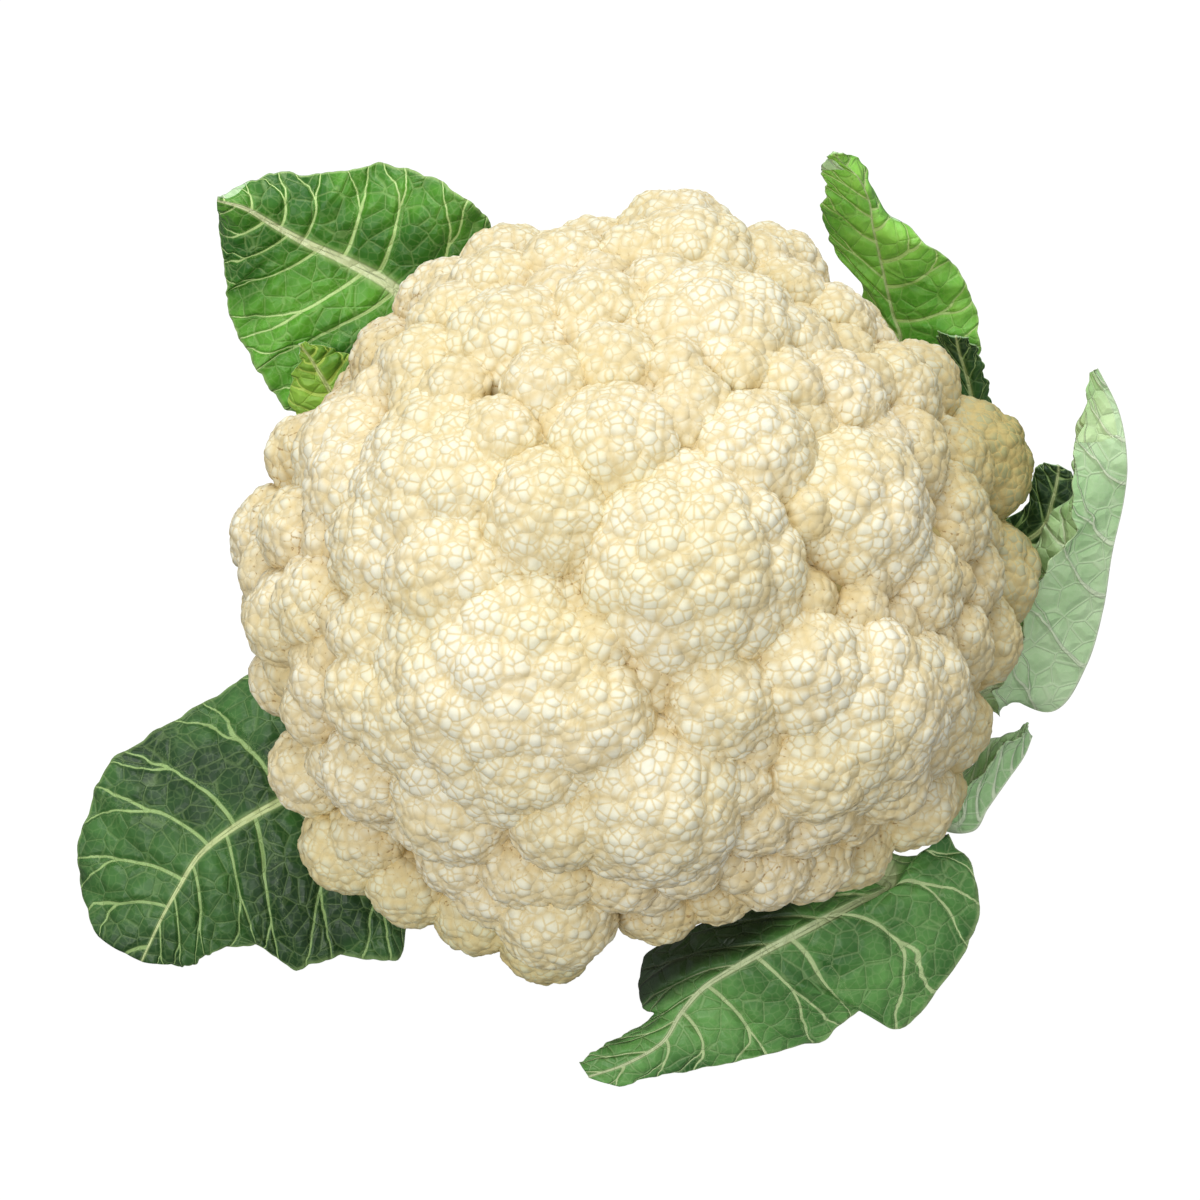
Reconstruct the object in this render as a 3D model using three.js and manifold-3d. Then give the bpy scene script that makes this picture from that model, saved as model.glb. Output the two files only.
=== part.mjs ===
// A whole cauliflower as picked: a dense white curd of many florets, the cut stalk that it stands on, and the
// green leaves that stay round it. Each leaf is one piece, with its petiole, midrib, side veins and waved blade.
// Millimetres and degrees. +Z is up, and the origin is the middle of the stalk's cut face.
import * as THREE from "three";
import { mergeVertices } from "three/addons/utils/BufferGeometryUtils.js";
import Module from "manifold-3d";

const { Vector3 } = THREE;
const { cos, sin, PI, sqrt, min, max, acos, atan2 } = Math;

// The curd: an egg-shaped outline that the florets' tops reach, measured from the middle of its widest level.
const HEAD_LEVEL = 88;
const HEAD_RADIUS = 88;
const HEAD_RISE = 76;
const HEAD_DROP = 66;
// Under the florets the main branches run in to the stalk, as a cone with a shallow rib for each branch.
const CORE_RADIUS = 78;
const CORE_RISE = 66;
const CORE_DROP = 60;
const CONE_RIM = [76, 62]; // radius and height
const CONE_FOOT = [26, 30];
const BRANCHES = 11;
const BRANCH_RELIEF = 0.04;
const CURD_DETAIL = 18; // each side of the starting icosahedron is cut into this many steps and one more

// A floret is a dome covered with lobes, set out by the golden angle round the way it faces.
const GOLDEN_ANGLE = 137.5;
const FLORET_SWELL = 1.12; // a floret's own radius over the radius that shows between its neighbours
const LOBES = 8;
const LOBE_RADIUS = 0.45; // of the floret's radius
const LOBE_REACH = 0.66; // how far out a lobe's middle sits, of the floret's radius
const LOBE_SPREAD = 76; // the furthest that a lobe leans from the floret's axis
const LOBED_FROM = 9; // a floret smaller than this is a plain dome
const FLORET_CORE = 0.9;
const DOME_FALL = 0.62; // how fast a dome falls away from its top, where a ball's own curve is 0.5

// The front florets as they grew: azimuth, tilt from the top, radius, and how far each stands proud.
const FRONT_FLORETS = [
  [74, 50, 15, 4], [62, 56, 9, 1], [86, 44, 9, 0], [104, 44, 10, 0], [122, 46, 11, 0],
  [100, 26, 10, 0], [76, 32, 8, 0], [50, 30, 15, 2], [52, 52, 9, 0], [42, 56, 10, 0],
  [136, 30, 14.5, 1], [154, 40, 10, 0], [166, 30, 7.5, 0], [158, 14, 8.5, 1], [98, 10, 9.5, 0],
  [40, 12, 6, 0], [4, 12, 7.5, 1], [24, 22, 6, 0], [16, 30, 8.5, 0], [16, 42, 10.5, 0],
  [24, 60, 11.5, 0], [10, 58, 8, -2], [264, 8, 13.5, 3], [340, 10, 6.5, 0], [344, 24, 13, 3],
  [332, 36, 5.5, -1], [294, 32, 22.5, 6], [236, 24, 13, 3], [194, 22, 9, 1], [186, 36, 15.5, 1],
  [210, 32, 8.5, 1], [222, 42, 13, 3], [202, 48, 13, 0], [182, 52, 11.5, -1], [184, 66, 9.5, -2],
  [200, 66, 10, -2], [216, 58, 10.5, -2], [252, 38, 11.5, -6], [262, 24, 6.5, -7], [346, 46, 18, 3],
  [2, 70, 11.5, -2], [356, 80, 8.5, -3], [342, 64, 13, -3], [318, 46, 6, -5], [326, 54, 6, -4],
  [276, 48, 9, -6], [290, 54, 11, 0], [308, 56, 13, 1], [316, 70, 14.5, 3], [328, 72, 10.5, 1],
  [304, 70, 11.5, 2], [316, 82, 9, 0], [276, 70, 18, 3], [244, 50, 13, 1], [264, 54, 12, 2],
  [252, 62, 14, 2], [232, 64, 14, 1], [222, 66, 10, 0], [242, 76, 13.5, 0], [226, 80, 10.5, -1],
  [226, 98, 9.5, 0], [244, 88, 10, -3], [260, 94, 12, 3], [250, 92, 8, -2], [270, 84, 9, -4],
  [276, 60, 7.5, -4], [292, 76, 8.5, -4], [300, 82, 8, -5], [310, 88, 8, -6], [288, 66, 5.5, -6],
  [260, 72, 10, 0],
];
// The rest of the head is filled by the same spiral growth, from the top down to the rim.
const SPIRAL_FLORETS = 150;
const SPIRAL_LAST_TILT = 112;
const SPIRAL_RADIUS = [8, 12]; // at the top, and at the rim
const SPIRAL_ROOM = 0.78; // a floret is left out nearer to another than this share of their two radii

// The stalk, as radius and height, from the cut face up into the curd.
const STALK_PROFILE = [
  [0, 0], [21.5, 0], [23, 1.5], [22, 9], [22.5, 20], [25, 31], [27, 41], [0, 41],
];
const STALK_SIDES = 36;
const JOIN_GAP = 0.3;

// Leaves. Each has a petiole, given by its middle line from the stalk outwards, and then a blade, given by stations
// from the blade's foot to its tip: a point of the midrib, of the left margin and of the right margin, as seen on the
// leaf's upper side looking towards the tip.
const BLADE_THICKNESS = 1.0;
const PETIOLE_HALF_WIDTH = 7;
const PETIOLE_DEPTH = 8;
const TIP_HALF_WIDTH = 0.8;
const TIP_DEPTH = 0.8;
const VEIN_RELIEF = 0.6;
const MARGIN_WAVE = 1.1;
const WAVES_PER_STATION = 0.62;
const ROWS_PER_STATION = 2;
const WIDE_COLUMNS = [0, 0.3, 0.65, 1]; // from the midrib's edge to the margin
const NARROW_COLUMNS = [0, 0.5, 1];
const LEAVES = {
  leaf_back_left: {
    petiole: [[-11, 20, 9], [-25, 52, 18]],
    blade: [
      [[-36, 75, 34], [-47, 72, 36], [-27, 82, 42]],
      [[-43, 88, 55], [-64, 76, 46], [-28, 100, 79]],
      [[-52, 92, 76], [-79, 71, 58], [-32, 103, 92]],
      [[-63, 96, 82], [-86, 80, 64], [-44, 108, 99]],
      [[-73, 98, 87], [-92, 89, 70], [-58, 111, 99]],
      [[-80, 99, 92], [-93, 95, 77], [-71, 111, 97]],
      [[-87, 99, 99], [-94, 101, 85], [-82, 108, 99]],
      [[-93, 99, 102], [-94, 104, 91], [-90, 104, 100]],
    ],
  },
  leaf_back_left_small: {
    petiole: [[-15, 12, 25], [-38, 36, 31], [-57, 57, 42]],
    blade: [
      [[-65, 69, 56], [-73, 66, 52], [-56, 75, 56]],
      [[-68, 72, 63], [-77, 70, 60], [-59, 78, 63]],
      [[-71, 75, 68], [-77, 74, 66], [-63, 79, 68]],
      [[-73, 77, 71], [-75, 76, 70], [-68, 79, 71]],
      [[-75, 78, 74], [-75, 78, 73], [-74, 79, 74]],
    ],
    size: 0.65,
  },
  leaf_front_left: {
    petiole: [[-21, -4, 9], [-42, -7, 15]],
    blade: [
      [[-56, -9, 19], [-49, -25, 12], [-56, 8, 20]],
      [[-70, -12, 23], [-51, -46, 3], [-74, 23, 22]],
      [[-81, -19, 25], [-64, -46, 3], [-88, 18, 22]],
      [[-90, -24, 23], [-75, -49, 2], [-103, 8, 22]],
      [[-97, -29, 20], [-84, -46, 8], [-117, -2, 20]],
      [[-102, -35, 15], [-94, -46, 5], [-124, -14, 15]],
      [[-106, -40, 10], [-100, -48, 2], [-127, -29, 9]],
      [[-111, -47, 2], [-106, -48, 2], [-121, -41, 3]],
    ],
  },
  leaf_front_right: {
    petiole: [[15, -15, 9], [37, -25, 15], [55, -33, 22]],
    blade: [
      [[62, -41, 27], [76, -29, 28], [50, -34, 17]],
      [[54, -46, 28], [82, -40, 24], [40, -36, 15]],
      [[45, -51, 28], [79, -51, 16], [28, -37, 14]],
      [[36, -55, 26], [64, -65, 3], [19, -43, 13]],
      [[27, -59, 23], [55, -64, 10], [6, -50, 10]],
      [[19, -62, 18], [46, -69, 4], [5, -60, 7]],
      [[14, -66, 13], [32, -72, 4], [8, -63, 7]],
      [[10, -71, 9], [18, -75, 3], [2, -68, 7]],
      [[2, -75, 6], [8, -77, 3], [-4, -71, 6]],
      [[-7, -77, 3], [0, -79, 2], [-9, -74, 4]],
    ],
  },
  leaf_right: {
    petiole: [[20, 3, 25], [48, 3, 30], [76, 3, 35]],
    blade: [
      [[88, 4, 40], [88, 12, 38], [87, -7, 46]],
      [[99, -4, 46], [91, 12, 44], [86, -8, 54]],
      [[105, 1, 56], [90, 12, 53], [88, -1, 63]],
      [[108, 8, 68], [91, 15, 62], [91, 4, 73]],
      [[109, 14, 82], [95, 21, 72], [96, 10, 83]],
      [[111, 21, 93], [99, 27, 81], [100, 15, 92]],
      [[111, 25, 102], [102, 31, 93], [101, 25, 102]],
      [[109, 32, 110], [103, 36, 102], [102, 32, 110]],
      [[104, 38, 118], [104, 39, 115], [103, 38, 117]],
    ],
    size: 0.85,
  },
  leaf_right_low: {
    petiole: [[22, -1, 9], [48, -3, 13], [70, -13, 19]],
    blade: [
      [[81, -24, 25], [80, -10, 22], [78, -22, 33]],
      [[84, -21, 29], [86, -5, 25], [82, -18, 37]],
      [[89, -15, 32], [90, -1, 27], [87, -12, 41]],
      [[93, -10, 34], [94, 1, 29], [92, -9, 40]],
      [[95, -6, 36], [95, -1, 33], [94, -6, 38]],
    ],
    size: 0.7,
  },
  leaf_right_small: {
    petiole: [[14, 15, 26], [44, 25, 33], [70, 31, 42]],
    blade: [
      [[84, 33, 50], [80, 42, 50], [88, 25, 48]],
      [[98, 35, 60], [94, 39, 62], [98, 28, 57]],
      [[100, 39, 66], [95, 41, 68], [106, 36, 62]],
      [[101, 43, 71], [96, 43, 73], [106, 41, 67]],
      [[101, 44, 73], [98, 44, 74], [104, 44, 71]],
    ],
    size: 0.6,
  },
  leaf_back_right: {
    petiole: [[4, 23, 9], [28, 53, 18]],
    blade: [
      [[52, 76, 36], [44, 82, 38], [61, 72, 38]],
      [[67, 84, 66], [55, 92, 65], [85, 81, 62]],
      [[65, 89, 72], [58, 93, 77], [85, 84, 72]],
      [[63, 93, 79], [51, 97, 85], [82, 89, 80]],
      [[61, 96, 87], [49, 99, 89], [76, 93, 88]],
      [[59, 98, 95], [47, 100, 98], [67, 99, 93]],
      [[58, 100, 100], [48, 101, 103], [63, 103, 92]],
      [[55, 101, 107], [47, 102, 108], [59, 108, 98]],
      [[51, 102, 111], [48, 102, 113], [55, 110, 103]],
      [[49, 102, 115], [48, 102, 114], [51, 102, 115]],
    ],
    size: 0.9,
  },
  leaf_back_right_small: {
    petiole: [[18, 14, 10], [43, 35, 18], [64, 50, 34]],
    blade: [
      [[74, 58, 48], [66, 66, 52], [82, 50, 46]],
      [[84, 64, 58], [77, 65, 62], [87, 65, 58]],
      [[83, 66, 67], [78, 68, 71], [87, 68, 67]],
      [[81, 69, 75], [76, 71, 79], [85, 69, 75]],
      [[79, 71, 81], [74, 73, 84], [83, 71, 81]],
      [[78, 72, 85], [75, 72, 86], [80, 72, 85]],
    ],
    size: 0.65,
  },
};

// What each piece looks like.
const CREAM = new THREE.MeshStandardMaterial({ color: 0xe9dfbd, roughness: 0.62, metalness: 0 });
const PALE_GREEN = new THREE.MeshStandardMaterial({ color: 0xcbd6a0, roughness: 0.55, metalness: 0 });
const LEAF_GREEN = new THREE.MeshStandardMaterial({ color: 0x4f8a3c, roughness: 0.5, metalness: 0 });

const wasm = await Module();
wasm.setup();

const radians = (angle) => (angle * PI) / 180;
const mix = (a, b, share) => a + (b - a) * share;

// The way from the head's middle at an azimuth and a tilt from the top.
function headWay(azimuth, tilt) {
  const [a, t] = [radians(azimuth), radians(tilt)];
  return new Vector3(sin(t) * cos(a), sin(t) * sin(a), cos(t));
}

// How far an egg-shaped outline reaches along a unit vector.
function eggReach(way, radius, rise, drop) {
  const flat = (way.x ** 2 + way.y ** 2) / radius ** 2;
  const upright = (way.z / (way.z > 0 ? rise : drop)) ** 2;
  return 1 / sqrt(flat + upright);
}

// Adds the spiral's florets wherever the front ones leave room.
function allFlorets() {
  const florets = FRONT_FLORETS.map(([azimuth, tilt, radius, proud]) => ({
    way: headWay(azimuth, tilt), radius, proud,
  }));
  for (let k = 0; k < SPIRAL_FLORETS; k++) {
    const share = (k + 0.5) / SPIRAL_FLORETS;
    const tilt = acos(1 - (1 - cos(radians(SPIRAL_LAST_TILT))) * share) * (180 / PI);
    const way = headWay(k * GOLDEN_ANGLE, tilt);
    const radius = mix(...SPIRAL_RADIUS, tilt / SPIRAL_LAST_TILT);
    const clear = florets.every(
      (other) => way.angleTo(other.way) * HEAD_RADIUS > (radius + other.radius) * SPIRAL_ROOM,
    );
    if (clear) florets.push({ way, radius, proud: 0 });
  }
  return florets;
}

// The domes that make up a floret: its core, and the lobes on the side that faces out.
function floretDomes({ way, radius, proud }) {
  const own = radius * FLORET_SWELL;
  const middle = way.clone().multiplyScalar(eggReach(way, HEAD_RADIUS, HEAD_RISE, HEAD_DROP) + proud - own);
  if (radius < LOBED_FROM) return [{ middle, radius: own }];
  const turn = new THREE.Quaternion().setFromUnitVectors(new Vector3(0, 0, 1), way);
  const domes = [{ middle, radius: own * FLORET_CORE }];
  for (let k = 0; k < LOBES; k++) {
    const lean = LOBE_SPREAD * sqrt((k + 0.3) / LOBES);
    const lobe = headWay(k * GOLDEN_ANGLE, lean).applyQuaternion(turn).multiplyScalar(own * LOBE_REACH);
    domes.push({ middle: lobe.add(middle), radius: own * LOBE_RADIUS });
  }
  return domes;
}

// How far the branches reach along a unit vector: an egg above, and a ribbed cone below.
function coreReach(way) {
  const egg = eggReach(way, CORE_RADIUS, CORE_RISE, CORE_DROP);
  if (way.z >= 0) return egg;
  const slope = (CONE_RIM[0] - CONE_FOOT[0]) / (CONE_RIM[1] - CONE_FOOT[1]);
  const across = sqrt(way.x ** 2 + way.y ** 2);
  const cone = (CONE_FOOT[0] + slope * (HEAD_LEVEL - CONE_FOOT[1])) / (across - slope * way.z);
  const rib = BRANCH_RELIEF * sin(PI * -way.z) * cos(BRANCHES * atan2(way.y, way.x));
  return min(egg, cone) * (1 + rib);
}

// A closed solid from a three.js geometry, and back again.
function solidOf(geometry) {
  const bare = new THREE.BufferGeometry().setAttribute("position", geometry.getAttribute("position"));
  if (geometry.index) bare.setIndex(geometry.index);
  const merged = mergeVertices(bare, 1e-3);
  return new wasm.Manifold(
    new wasm.Mesh({
      numProp: 3,
      vertProperties: new Float32Array(merged.attributes.position.array),
      triVerts: new Uint32Array(merged.index.array),
    }),
  );
}

function geometryOf(solid) {
  const mesh = solid.getMesh();
  const geometry = new THREE.BufferGeometry();
  geometry.setAttribute("position", new THREE.BufferAttribute(mesh.vertProperties, 3));
  geometry.setIndex(new THREE.BufferAttribute(mesh.triVerts, 1));
  geometry.computeVertexNormals();
  return geometry;
}

// The stalk, or the room that it needs when grown by a gap all round.
function stalkGeometry(gap = 0) {
  const top = STALK_PROFILE.length - 1;
  const outline = STALK_PROFILE.map(([radius, height], k) => {
    const wide = radius > 0 ? radius + gap : 0;
    const high = height + (k >= top - 1 ? gap : k <= 1 ? -gap : 0);
    return new THREE.Vector2(wide, high);
  });
  return new THREE.LatheGeometry(outline, STALK_SIDES).rotateX(PI / 2);
}

// The curd: the outside of all the florets' domes and of the branches, as seen from the head's middle.
function curdGeometry() {
  const domes = allFlorets().flatMap(floretDomes);
  const sphere = new THREE.IcosahedronGeometry(1, CURD_DETAIL);
  sphere.deleteAttribute("normal");
  sphere.deleteAttribute("uv");
  const geometry = mergeVertices(sphere, 1e-5);
  const position = geometry.getAttribute("position");
  const way = new Vector3();
  for (let i = 0; i < position.count; i++) {
    way.fromBufferAttribute(position, i).normalize();
    let reach = coreReach(way);
    for (const { middle, radius } of domes) {
      const along = way.dot(middle);
      const aside = middle.lengthSq() - along ** 2;
      if (along > 0) reach = max(reach, along + radius - (DOME_FALL * aside) / radius);
    }
    position.setXYZ(i, way.x * reach, way.y * reach, way.z * reach + HEAD_LEVEL);
  }
  return geometry;
}

// A smooth line through points, measured by their number, so that lines with as many points keep step.
function lineThrough(points) {
  return new THREE.CatmullRomCurve3(points.map((p) => new Vector3(...p)), false, "centripetal");
}

// A leaf: sections from margin to margin across its midrib, each with an upper and a lower face that share columns.
function leafGeometry({ petiole, blade, size = 1 }) {
  const stations = petiole.length + blade.length - 1;
  const foot = petiole.length / stations;
  const midrib = lineThrough([...petiole, ...blade.map((station) => station[0])]);
  const margins = [1, 2].map((side) => lineThrough(blade.map((station) => station[side])));
  const columns = size < 0.8 ? NARROW_COLUMNS : WIDE_COLUMNS;
  const across = [...columns.slice().reverse().map((c) => [-1, c]), [0, 0], ...columns.map((c) => [1, c])];

  // The midrib's place at a share of the leaf's length, with the ways across it and up from it.
  function frameAt(along) {
    const middle = midrib.getPoint(along);
    const tangent = midrib.getTangent(along);
    const [left, right] = margins.map((margin) => margin.getPoint(max(0, (along - foot) / (1 - foot))));
    const level = new Vector3().crossVectors(tangent, new Vector3(0, 0, 1)).normalize();
    const spread = right.clone().sub(left).normalize();
    const side = level.lerp(spread, min(1, max(0, (along - foot * 0.6) / (foot * 0.4))));
    side.addScaledVector(tangent, -side.dot(tangent)).normalize();
    return { middle, left, right, side, up: new Vector3().crossVectors(side, tangent) };
  }

  // A point of the leaf at a share of its length and a column on one side of the midrib.
  function pointAt(row, along, side, column, under) {
    const { middle, left, right, side: sideWay, up } = frameAt(along);
    const thin = max(0, (along - foot * 0.5) / (1 - foot * 0.5));
    const ribHalf = mix(PETIOLE_HALF_WIDTH * size, TIP_HALF_WIDTH, sqrt(thin));
    const ribDepth = mix(PETIOLE_DEPTH * size, TIP_DEPTH, sqrt(thin));
    const point = middle.clone().addScaledVector(sideWay, side * ribHalf);
    if (side === 0) return point.addScaledVector(up, under ? -BLADE_THICKNESS / 2 - ribDepth : BLADE_THICKNESS / 2);
    const edge = point.clone().addScaledVector(sideWay, side * 1.5);
    const opening = min(1, max(0, (along - foot * 0.8) / (foot * 0.2)));
    edge.lerp(side < 0 ? left : right, opening * opening * (3 - 2 * opening));
    const wave = sin(2 * PI * WAVES_PER_STATION * (along * stations + side * 0.2)) * MARGIN_WAVE * opening;
    const vein = row % 2 === 0 ? VEIN_RELIEF * (1 - column) : 0;
    point.lerp(edge, column).addScaledVector(up, wave * column);
    return point.addScaledVector(up, under ? -BLADE_THICKNESS / 2 - vein : BLADE_THICKNESS / 2);
  }

  const rowCount = stations * ROWS_PER_STATION;
  const wide = across.length;
  const points = [];
  for (const under of [false, true]) {
    for (let i = 0; i <= rowCount; i++) {
      for (const [side, column] of across) {
        points.push(...pointAt(i, i / rowCount, side, column, under).toArray());
      }
    }
  }
  const top = (i, j) => i * wide + j;
  const bottom = (i, j) => (rowCount + 1 + i) * wide + j;
  const faces = [];
  const quad = (a, b, c, d) => faces.push(a, b, c, a, c, d);
  for (let i = 0; i < rowCount; i++) {
    for (let j = 0; j < wide - 1; j++) {
      quad(top(i, j), top(i, j + 1), top(i + 1, j + 1), top(i + 1, j));
      faces.push(bottom(i, j), bottom(i + 1, j + 1), bottom(i, j + 1));
      faces.push(bottom(i, j), bottom(i + 1, j), bottom(i + 1, j + 1));
    }
    quad(top(i, 0), top(i + 1, 0), bottom(i + 1, 0), bottom(i, 0));
    quad(top(i + 1, wide - 1), top(i, wide - 1), bottom(i, wide - 1), bottom(i + 1, wide - 1));
  }
  for (let j = 0; j < wide - 1; j++) {
    quad(top(0, j + 1), top(0, j), bottom(0, j), bottom(0, j + 1));
    quad(top(rowCount, j), top(rowCount, j + 1), bottom(rowCount, j + 1), bottom(rowCount, j));
  }
  const geometry = new THREE.BufferGeometry();
  geometry.setAttribute("position", new THREE.Float32BufferAttribute(points, 3));
  geometry.setIndex(faces);
  return geometry;
}

function piece(name, geometry, material) {
  const mesh = new THREE.Mesh(geometry, material);
  mesh.name = name;
  return mesh;
}

const stalkRoom = solidOf(stalkGeometry(JOIN_GAP));
const cauliflower = new THREE.Group();
cauliflower.name = "cauliflower";
cauliflower.add(piece("stalk", stalkGeometry(), PALE_GREEN));
cauliflower.add(piece("curd", geometryOf(solidOf(curdGeometry()).subtract(stalkRoom)), CREAM));
for (const [name, shape] of Object.entries(LEAVES)) {
  const leaf = solidOf(leafGeometry(shape)).subtract(stalkRoom);
  cauliflower.add(piece(name, geometryOf(leaf), LEAF_GREEN));
}

export default cauliflower;
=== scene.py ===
import bpy
import numpy as np
from mathutils import Matrix, Vector


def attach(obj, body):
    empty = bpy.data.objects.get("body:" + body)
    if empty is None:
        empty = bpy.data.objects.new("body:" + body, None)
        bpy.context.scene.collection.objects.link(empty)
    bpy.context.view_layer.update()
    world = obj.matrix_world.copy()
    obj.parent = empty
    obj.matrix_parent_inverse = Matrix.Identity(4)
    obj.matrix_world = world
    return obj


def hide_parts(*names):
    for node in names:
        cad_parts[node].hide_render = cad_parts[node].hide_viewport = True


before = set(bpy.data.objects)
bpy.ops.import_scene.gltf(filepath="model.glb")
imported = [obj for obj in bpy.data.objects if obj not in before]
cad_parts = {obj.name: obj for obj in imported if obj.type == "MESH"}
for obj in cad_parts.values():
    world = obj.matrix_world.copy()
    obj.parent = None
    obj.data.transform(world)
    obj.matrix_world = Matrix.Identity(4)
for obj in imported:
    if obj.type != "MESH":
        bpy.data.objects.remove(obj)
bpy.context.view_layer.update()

MM = 0.001
SEED = 41
draw = np.random.default_rng(SEED)

# The curd's outline, measured from the middle of its widest level.
HEAD_LEVEL = 88
HEAD_RADIUS = 88
HEAD_RISE = 76
HEAD_DROP = 66
CONE_RIM = (76, 62)  # radius and height where the branches leave the florets
CONE_FOOT = (26, 30)
CONE_EGG = (78, 60)  # radius and drop of the rounded part under the florets
BRANCHES = 11
BRANCH_RELIEF = 0.04
LEAST_CONE_SLOPE = 0.2  # keeps the cone finite above the florets, where it isn't used

# The florets that face the camera, as they grew: azimuth, tilt from the top, radius, and how far each
# stands proud.
FRONT_FLORETS = [
    [74, 50, 15, 4], [62, 56, 9, 1], [86, 44, 9, 0], [104, 44, 10, 0], [122, 46, 11, 0], [100, 26, 10, 0],
    [76, 32, 8, 0], [50, 30, 15, 2], [52, 52, 9, 0], [42, 56, 10, 0], [136, 30, 14.5, 1], [154, 40, 10, 0],
    [166, 30, 7.5, 0], [158, 14, 8.5, 1], [98, 10, 9.5, 0], [40, 12, 6, 0], [4, 12, 7.5, 1], [24, 22, 6, 0],
    [16, 30, 8.5, 0], [16, 42, 10.5, 0], [24, 60, 11.5, 0], [10, 58, 8, -2], [264, 8, 13.5, 3],
    [340, 10, 6.5, 0], [344, 24, 13, 3], [332, 36, 5.5, -1], [294, 32, 22.5, 6], [236, 24, 13, 3],
    [194, 22, 9, 1], [186, 36, 15.5, 1], [210, 32, 8.5, 1], [222, 42, 13, 3], [202, 48, 13, 0],
    [182, 52, 11.5, -1], [184, 66, 9.5, -2], [200, 66, 10, -2], [216, 58, 10.5, -2], [252, 38, 11.5, -6],
    [262, 24, 6.5, -7], [346, 46, 18, 3], [2, 70, 11.5, -2], [356, 80, 8.5, -3], [342, 64, 13, -3],
    [318, 46, 6, -5], [326, 54, 6, -4], [276, 48, 9, -6], [290, 54, 11, 0], [308, 56, 13, 1],
    [316, 70, 14.5, 3], [328, 72, 10.5, 1], [304, 70, 11.5, 2], [316, 82, 9, 0], [276, 70, 18, 3],
    [244, 50, 13, 1], [264, 54, 12, 2], [252, 62, 14, 2], [232, 64, 14, 1], [222, 66, 10, 0],
    [242, 76, 13.5, 0], [226, 80, 10.5, -1], [226, 98, 9.5, 0], [244, 88, 10, -3], [260, 94, 12, 3],
    [250, 92, 8, -2], [270, 84, 9, -4], [276, 60, 7.5, -4], [292, 76, 8.5, -4], [300, 82, 8, -5],
    [310, 88, 8, -6], [288, 66, 5.5, -6], [260, 72, 10, 0], [80, 65, 13, 6], [62, 67, 12, 4],
    [46, 71, 11, -1], [95, 64, 10, -1], [111, 66, 11, 1], [124, 68, 11, -1], [137, 71, 9, -5],
    [150, 76, 9, -9], [144, 60, 9, -5], [154, 90, 9, -6], [160, 78, 9, -3], [140, 84, 9, -6],
    [172, 86, 11, -1], [180, 94, 10, -4], [190, 98, 9, -7], [200, 98, 9, -8], [210, 100, 10, -2],
    [21, 86, 14, 10], [6, 95, 13, 7], [32, 76, 10, 3], [14, 74, 10, 0], [312, 103, 10, -1],
    [324, 100, 10, 2], [338, 98, 10, 0], [298, 106, 8, -7], [284, 108, 8, -9], [258, 107, 10, 4],
    [246, 106, 10, 2], [234, 104, 10, 3], [223, 102, 10, 6], [214, 92, 9, 1], [294, 90, 9, -3],
    [302, 95, 9, -3], [286, 96, 8, -6], [276, 98, 9, -5], [255, 84, 9, -2], [290, 68, 9, -4],
    [352, 92, 10, 1], [196, 92, 9, -5], [330, 107, 10, 4], [243, 58, 29, 4], [316, 69, 21, 4],
    [50, 30, 21, 3], [199, 37, 21, 3],
]
# The rest of the head is filled by spirals of ever smaller florets: how many places each spiral tries, its
# florets' radius, how far they stand proud, and how closely they crowd those already there.
SPIRALS = [[90, 14, 0, 0.82], [240, 10.5, -1, 0.8], [500, 7.5, -3, 0.68], [900, 6, -5, 0.62]]
SPIRAL_LAST_TILT = 114
SPIRAL_JITTER = 0.05
GOLDEN_ANGLE = 137.5

# Where the head draws in: under the rim at the front and the left, from one tilt to another, and round a
# notch behind the small leaf at the back left, from one cosine of the angle to it to another.
FRONT_TUCK = 8
TUCK_TILTS = (82, 96)
TUCK_GAIN = 1.5
NOTCH = (150, 78)
NOTCH_TUCK = 9
NOTCH_COSINES = (0.85, 0.95)

# What a floret is made of: lobes round a core, and buds on each lobe.
FLORET_SWELL = 1.16
FLORET_CORE = 0.84
LOBE_SHARE = 0.4
LOBE_RANGE = (4.6, 8.2)
LOBE_SPREAD = 100
LOBES_PER_RATIO = 7.0  # lobes on a floret for each squared ratio of its radius to theirs
LOBE_JITTER = 0.07
LOBE_GROWTH = (0.86, 1.08)  # lobes at a floret's top and at its rim, as shares of their usual size
LOBE_SIZES = (0.84, 1.16)  # how much single lobes differ from that
LOBE_DEPTHS = (0.92, 1.12)  # how far in from the floret's outside a lobe's middle lies, in its own radii
BUD_SPACING = 3.0
BUD_SPACINGS = (0.84, 1.14)  # how much this differs from floret to floret
BUD_REACH = 0.64  # a bud's radius as a share of the spacing
BUD_HEIGHT = 0.6
BUD_HEIGHTS = (0.75, 1.15)
CREASE_WIDTH = 0.6
BUD_CREASE = 0.25  # the creases between buds, as a share of those between lobes
SEAM_FADE = 0.7  # how far behind a lobe the next one may lie for the seam between them to show
HOLLOW_DEPTH = 0.22  # the share of a floret's radius at which a place counts as wholly hollow
ROOT_NECK = 0.62  # under its cap a floret narrows to this share
ROOT_DEPTHS = (0.55, 1.7)  # and ends this far in, in its own radii: the neck and the tip of its root
HEXAGON = 0.866  # the area of a hexagon for each squared distance across it
CELL = 2.3  # the width of the cells that the finish draws on the buds
CELL_RANDOMNESS = 0.9
CAP_EDGE = 85
WHORL_TILTS = (40, 72)  # the top florets end at the first, the middle ones at the second
FRONT_SPACING = 0.7
BACK_SPACING = 1.1
CORE_DEPTH = 10
CORE_GRID = (192, 100)
UNDERSIDE_FALL = (0.3, 0.5)  # where the core passes into its underside, as a unit vector's way down
LUMP_WIDTH = 5.5
LUMP_HEIGHT = 0.5
LUMP_FADE = (0.1, 0.35)  # where the core's lumps fade, as a unit vector's way down

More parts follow.
